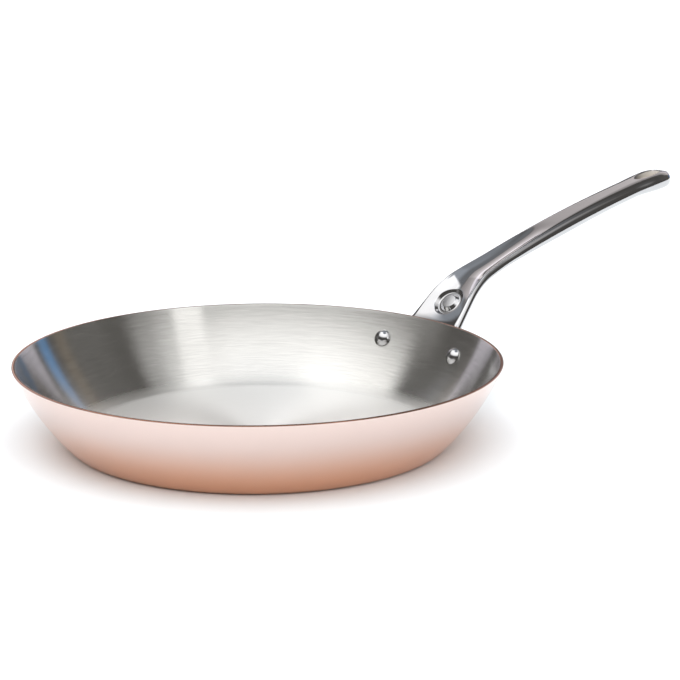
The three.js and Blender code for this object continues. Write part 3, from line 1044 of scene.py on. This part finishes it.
def geometry_tree(name, *inputs):
    """A tree with a geometry input and named inputs, and their group input sockets."""
    tree = bpy.data.node_groups.new(name, "GeometryNodeTree")
    graph = Graph(tree)
    tree.interface.new_socket("Geometry", in_out="OUTPUT", socket_type="NodeSocketGeometry")
    tree.interface.new_socket("Geometry", in_out="INPUT", socket_type="NodeSocketGeometry")
    for socket_name, socket_type in inputs:
        tree.interface.new_socket(socket_name, in_out="INPUT", socket_type=socket_type)
    return graph, graph.add("NodeGroupInput")


def finish_tree(graph, geometry, material):
    smooth = graph.add("GeometryNodeSetShadeSmooth", None, {"Geometry": geometry})
    real = graph.add("GeometryNodeRealizeInstances", None, {"Geometry": smooth})
    dressed = graph.add("GeometryNodeSetMaterial", None, {"Geometry": real, "Material": material})
    graph.add("NodeGroupOutput", None, {"Geometry": dressed})
    return graph.tree


def turning_tree():
    """Turns a profile line, given as (radius less the path's radius, minus height), about +Z."""
    graph, given = geometry_tree(
        "turn_profile",
        ("Segments", "NodeSocketInt"),
        ("Material", "NodeSocketMaterial"),
    )
    circle = graph.add("GeometryNodeCurvePrimitiveCircle", None, {
        "Resolution": given.part("Segments"),
        "Radius": PATH_RADIUS,
    })
    upright = graph.add("GeometryNodeSetCurveNormal", {"mode": "Z_UP"}, {"Curve": circle})
    profile = graph.add("GeometryNodeMeshToCurve", None, {"Mesh": given})
    skin = graph.add("GeometryNodeCurveToMesh", None, {"Curve": upright, "Profile Curve": profile})
    merging = {"Geometry": skin, "Distance": MERGE_DISTANCE}
    closed = graph.add("GeometryNodeMergeByDistance", None, merging)
    return finish_tree(graph, closed, given.part("Material"))


def rivet_tree():
    """Sets a rivet on each side of the handle, square to the wall."""
    graph, given = geometry_tree(
        "set_rivets",
        ("Wall Radius", "NodeSocketFloat"),
        ("Height", "NodeSocketFloat"),
        ("Turn", "NodeSocketFloat"),
        ("Wall Angle", "NodeSocketFloat"),
        ("Material", "NodeSocketMaterial"),
    )
    line = graph.add("GeometryNodeMeshLine", None, {"Count": 2})
    turn = given.part("Turn") * (graph.add("GeometryNodeInputIndex") * 2 - 1)
    cosine, sine = graph.math("COSINE", turn), graph.math("SINE", turn)
    radius = given.part("Wall Radius")
    place = graph.vector(cosine * radius, sine * radius, given.part("Height"))
    tilt = given.part("Wall Angle")
    reach = graph.math("SINE", tilt)
    axis = graph.vector(cosine * reach, sine * reach, 0 - graph.math("COSINE", tilt))
    points = graph.add("GeometryNodeSetPosition", None, {"Geometry": line, "Position": place})
    square = graph.add("FunctionNodeAlignRotationToVector", {"axis": "Z"}, {"Vector": axis})
    rivets = graph.add("GeometryNodeInstanceOnPoints", None, {
        "Points": points,
        "Instance": given,
        "Rotation": square,
    })
    return finish_tree(graph, rivets, given.part("Material"))


def grown(name, mesh, tree, values):
    """The plain mesh that a tree makes from a mesh, with its named inputs set."""
    maker = add_object(name, mesh)
    modifier = maker.modifiers.new(tree.name, "NODES")
    modifier.node_group = tree
    for socket in tree.interface.items_tree:
        if socket.in_out == "INPUT" and socket.name in values:
            modifier[socket.identifier] = values[socket.name]
    evaluated = maker.evaluated_get(bpy.context.evaluated_depsgraph_get())
    result = bpy.data.meshes.new_from_object(evaluated)
    bpy.data.objects.remove(maker)
    result.name = name
    return result


def turned(name, profile, segments, material):
    """The plain mesh of a profile turned about +Z."""
    points = [((r - PATH_RADIUS / MM) * MM, -z * MM, 0) for r, z in profile]
    mesh = bpy.data.meshes.new(name)
    mesh.from_pydata(points, [(i, i + 1) for i in range(len(points) - 1)], [])
    return grown(name, mesh, TURN, {"Segments": segments, "Material": material})


# Finished pieces

TURN = turning_tree()
copper = polished_copper()
lining = satin_steel()
handle_steel = polished_steel("polished_steel", HANDLE_ROUGHNESS, BOSS_ROUGHNESS)
rivet_steel = polished_steel("rivet_steel", RIVET_ROUGHNESS)

copper_profile = layer_profile(0, COPPER_THICKNESS, RIM_ROUNDING)
copper_mesh = turned("copper_body", copper_profile, PAN_SEGMENTS, copper)
add_piece("copper_pan", copper_mesh, copper, "polished_copper", "copper_body")
lining_depth = COPPER_THICKNESS + BOND_GAP
lining_profile = layer_profile(lining_depth, LINING_THICKNESS, LINING_ROUNDING)
lining_mesh = turned("lining", lining_profile, PAN_SEGMENTS, lining)
add_piece("lining", lining_mesh, lining, "satin_steel", "steel_lining")
add_piece("cast_handle", build_handle(), handle_steel, "polished_steel", "handle")
wall_radius, wall_height = wall_point(RIVET_ANGLE, 0)
one_rivet = turned("rivet", rivet_profile(), RIVET_SEGMENTS, rivet_steel)
rivet_mesh = grown("rivets", one_rivet, rivet_tree(), {
    "Wall Radius": wall_radius * MM,
    "Height": wall_height * MM,
    "Turn": math.asin(RIVET_SPACING / 2 / wall_radius),
    "Wall Angle": RIVET_ANGLE,
    "Material": rivet_steel,
})
add_piece("rivets", rivet_mesh, rivet_steel, "rivet_steel", "rivet_left", "rivet_right")


# Studio, with directions away from the camera, also on the level, and to its right

AWAY = CAMERA_TURN.to_matrix() @ Vector((0, 0, -1))
AWAY_FLAT = Vector((AWAY.x, AWAY.y, 0)).normalized()
RIGHT = CAMERA_TURN.to_matrix() @ Vector((1, 0, 0))
LEVEL_REACH = AWAY.dot(AWAY_FLAT)
DEGREES = math.degrees(1)


def build_floor():
    mesh = bpy.data.meshes.new("floor")
    sides = ((-1, -1), (1, -1), (1, 1), (-1, 1))
    mesh.from_pydata([(x * FLOOR_HALF, y * FLOOR_HALF, 0) for x, y in sides], [], [(0, 1, 2, 3)])
    floor = add_object("floor", mesh)
    material, graph = new_material("pale_floor")
    finish_material(graph, {
        "Base Color": FLOOR_COLOUR,
        "Roughness": 0.9,
        "Specular IOR Level": 0.1,
    })
    mesh.materials.append(material)


def build_world():
    """A soft box in front on the left, a light backdrop behind and a dim room around them.

    Places in the room are given in degrees: the bearing from the camera's side, the rise above
    level, and the sector, which is the bearing of a round wall where it mirrors them to the
    camera. The camera itself sees white.
    """
    world = bpy.data.worlds.new("studio")
    world.use_nodes = True
    bpy.context.scene.world = world
    graph = Graph(world.node_tree)
    ease, fade = graph.ease, graph.fade
    x, y, z = graph.axes(graph.add("ShaderNodeTexCoord").part("Generated"))
    left = 0 - (x * RIGHT.x + y * RIGHT.y)
    near = 0 - (x * AWAY_FLAT.x + y * AWAY_FLAT.y)
    bearing = graph.math("ABSOLUTE", graph.math("ARCTAN2", left, near)) * DEGREES
    sector = graph.math("ARCTAN2", left, near + LEVEL_REACH) * DEGREES
    rise = graph.math("ARCSINE", z) * DEGREES

    def window(value, start, end, soft):
        """1 from start to end and 0 outside, with soft edges."""
        return ease(value, start - soft, start + soft) * fade(value, end - soft, end + soft)

    # The soft box, with a strip that reaches lower at its right edge
    strip = STRIP_STRENGTH * window(sector, -23.2, -15.5, 0.6)
    strip = strip * ease(rise, 10, 24) * fade(rise, 24, 42)
    left_edge = fade(sector, 40, 48 - 3 * ease(rise, 44, 60))
    box = ease(sector, -23.8, -22.6) * left_edge * ease(rise, 26, 47)
    box = box * (0.78 + 0.22 * ease(sector, -22, -6)) + strip
    box = box * fade(bearing, 141, 146) * fade(rise, 74, 77)

    # Light that spills past the box, and faint tails further out
    spill = 0.45 * ease(sector, -38.5, -32) + 0.40 * ease(sector, -32, -24)
    spill = spill * fade(sector, -24, -22.5) * ease(rise, 18, 40)
    spill = spill * fade(bearing, 92, 122)
    tail = 0.2 * window(sector, 44, 51, 5) * fade(rise, 20, 32)
    tail = tail + 0.03 * window(sector, -56, -40, 3) * ease(bearing, 88, 96)

    # The backdrop, which reaches lower left of its middle, and the ceiling
    on_left = ease(left, -0.05, 0.05)
    behind = ease(bearing, 138, 144)
    low_light = window(left, 0.11, 0.24, 0.02)
    backdrop = behind * window(rise, 20 - 12 * low_light, 43, 2)
    backdrop = backdrop * (0.66 + 0.29 * low_light) * (1.0 - 0.5 * ease(rise, 21, 42))
    upper = 0.5 * on_left * behind * ease(rise, 42, 46)
    upper = upper + ease(rise, 53, 66) * (0.4 + 0.5 * ease(left, -0.35, -0.1))

    # Cool light beside the backdrop, and narrow streaks far out on both sides
    cool = on_left * (1 - behind) * ease(bearing, 128, 136) * window(rise, 25, 50, 3)
    streak = window(sector, 69, 79, 0.7) + window(sector, -84, -72.5, 0.7)
    blue = window(sector, -70, -65.5, 1) * window(rise, 6, 34, 4) * fade(bearing, 139, 143)
    warm = window(sector, -61.5, -57.5, 1.5)

    def channel(i):
        level = DIM_ROOM[i] + BOX_STRENGTH * box + spill + tail + BACKDROP_LIGHT[i] * backdrop
        level = level + COOL_LIGHT[i] * (cool + upper) + STREAK_LIGHT[i] * streak
        return level + BLUE_LIGHT[i] * blue + WARM_LIGHT[i] * warm

    channels = {name: channel(i) for i, name in enumerate(("Red", "Green", "Blue"))}
    light = graph.add("ShaderNodeCombineColor", None, channels)
    seen = graph.add("ShaderNodeLightPath").part("Is Camera Ray")
    light = graph.blend(seen, light, WHITE)
    background = graph.add("ShaderNodeBackground", None, {"Color": light, "Strength": 1.0})
    graph.add("ShaderNodeOutputWorld", None, {"Surface": background})


def build_lights():
    """A wide light from above that brightens the floor and isn't mirrored in the metal."""
    data = bpy.data.lights.new("overhead", "SUN")
    data.energy = OVERHEAD_ENERGY
    data.angle = OVERHEAD_ANGLE
    overhead = add_object("overhead", data)
    to_light = Vector((0, 0, 1)) - AWAY_FLAT * OVERHEAD_NEAR + RIGHT * OVERHEAD_RIGHT
    overhead.rotation_euler = to_light.to_track_quat("Z", "Y").to_euler()
    overhead.visible_glossy = False


def build_camera():
    data = bpy.data.cameras.new("camera")
    data.lens = CAMERA_LENS
    data.sensor_width = CAMERA_SENSOR
    camera = add_object("camera", data)
    camera.location = CAMERA_PLACE
    camera.rotation_euler = CAMERA_TURN
    bpy.context.scene.camera = camera


build_floor()
build_world()
build_lights()
build_camera()
bpy.context.scene.view_settings.view_transform = "Standard"
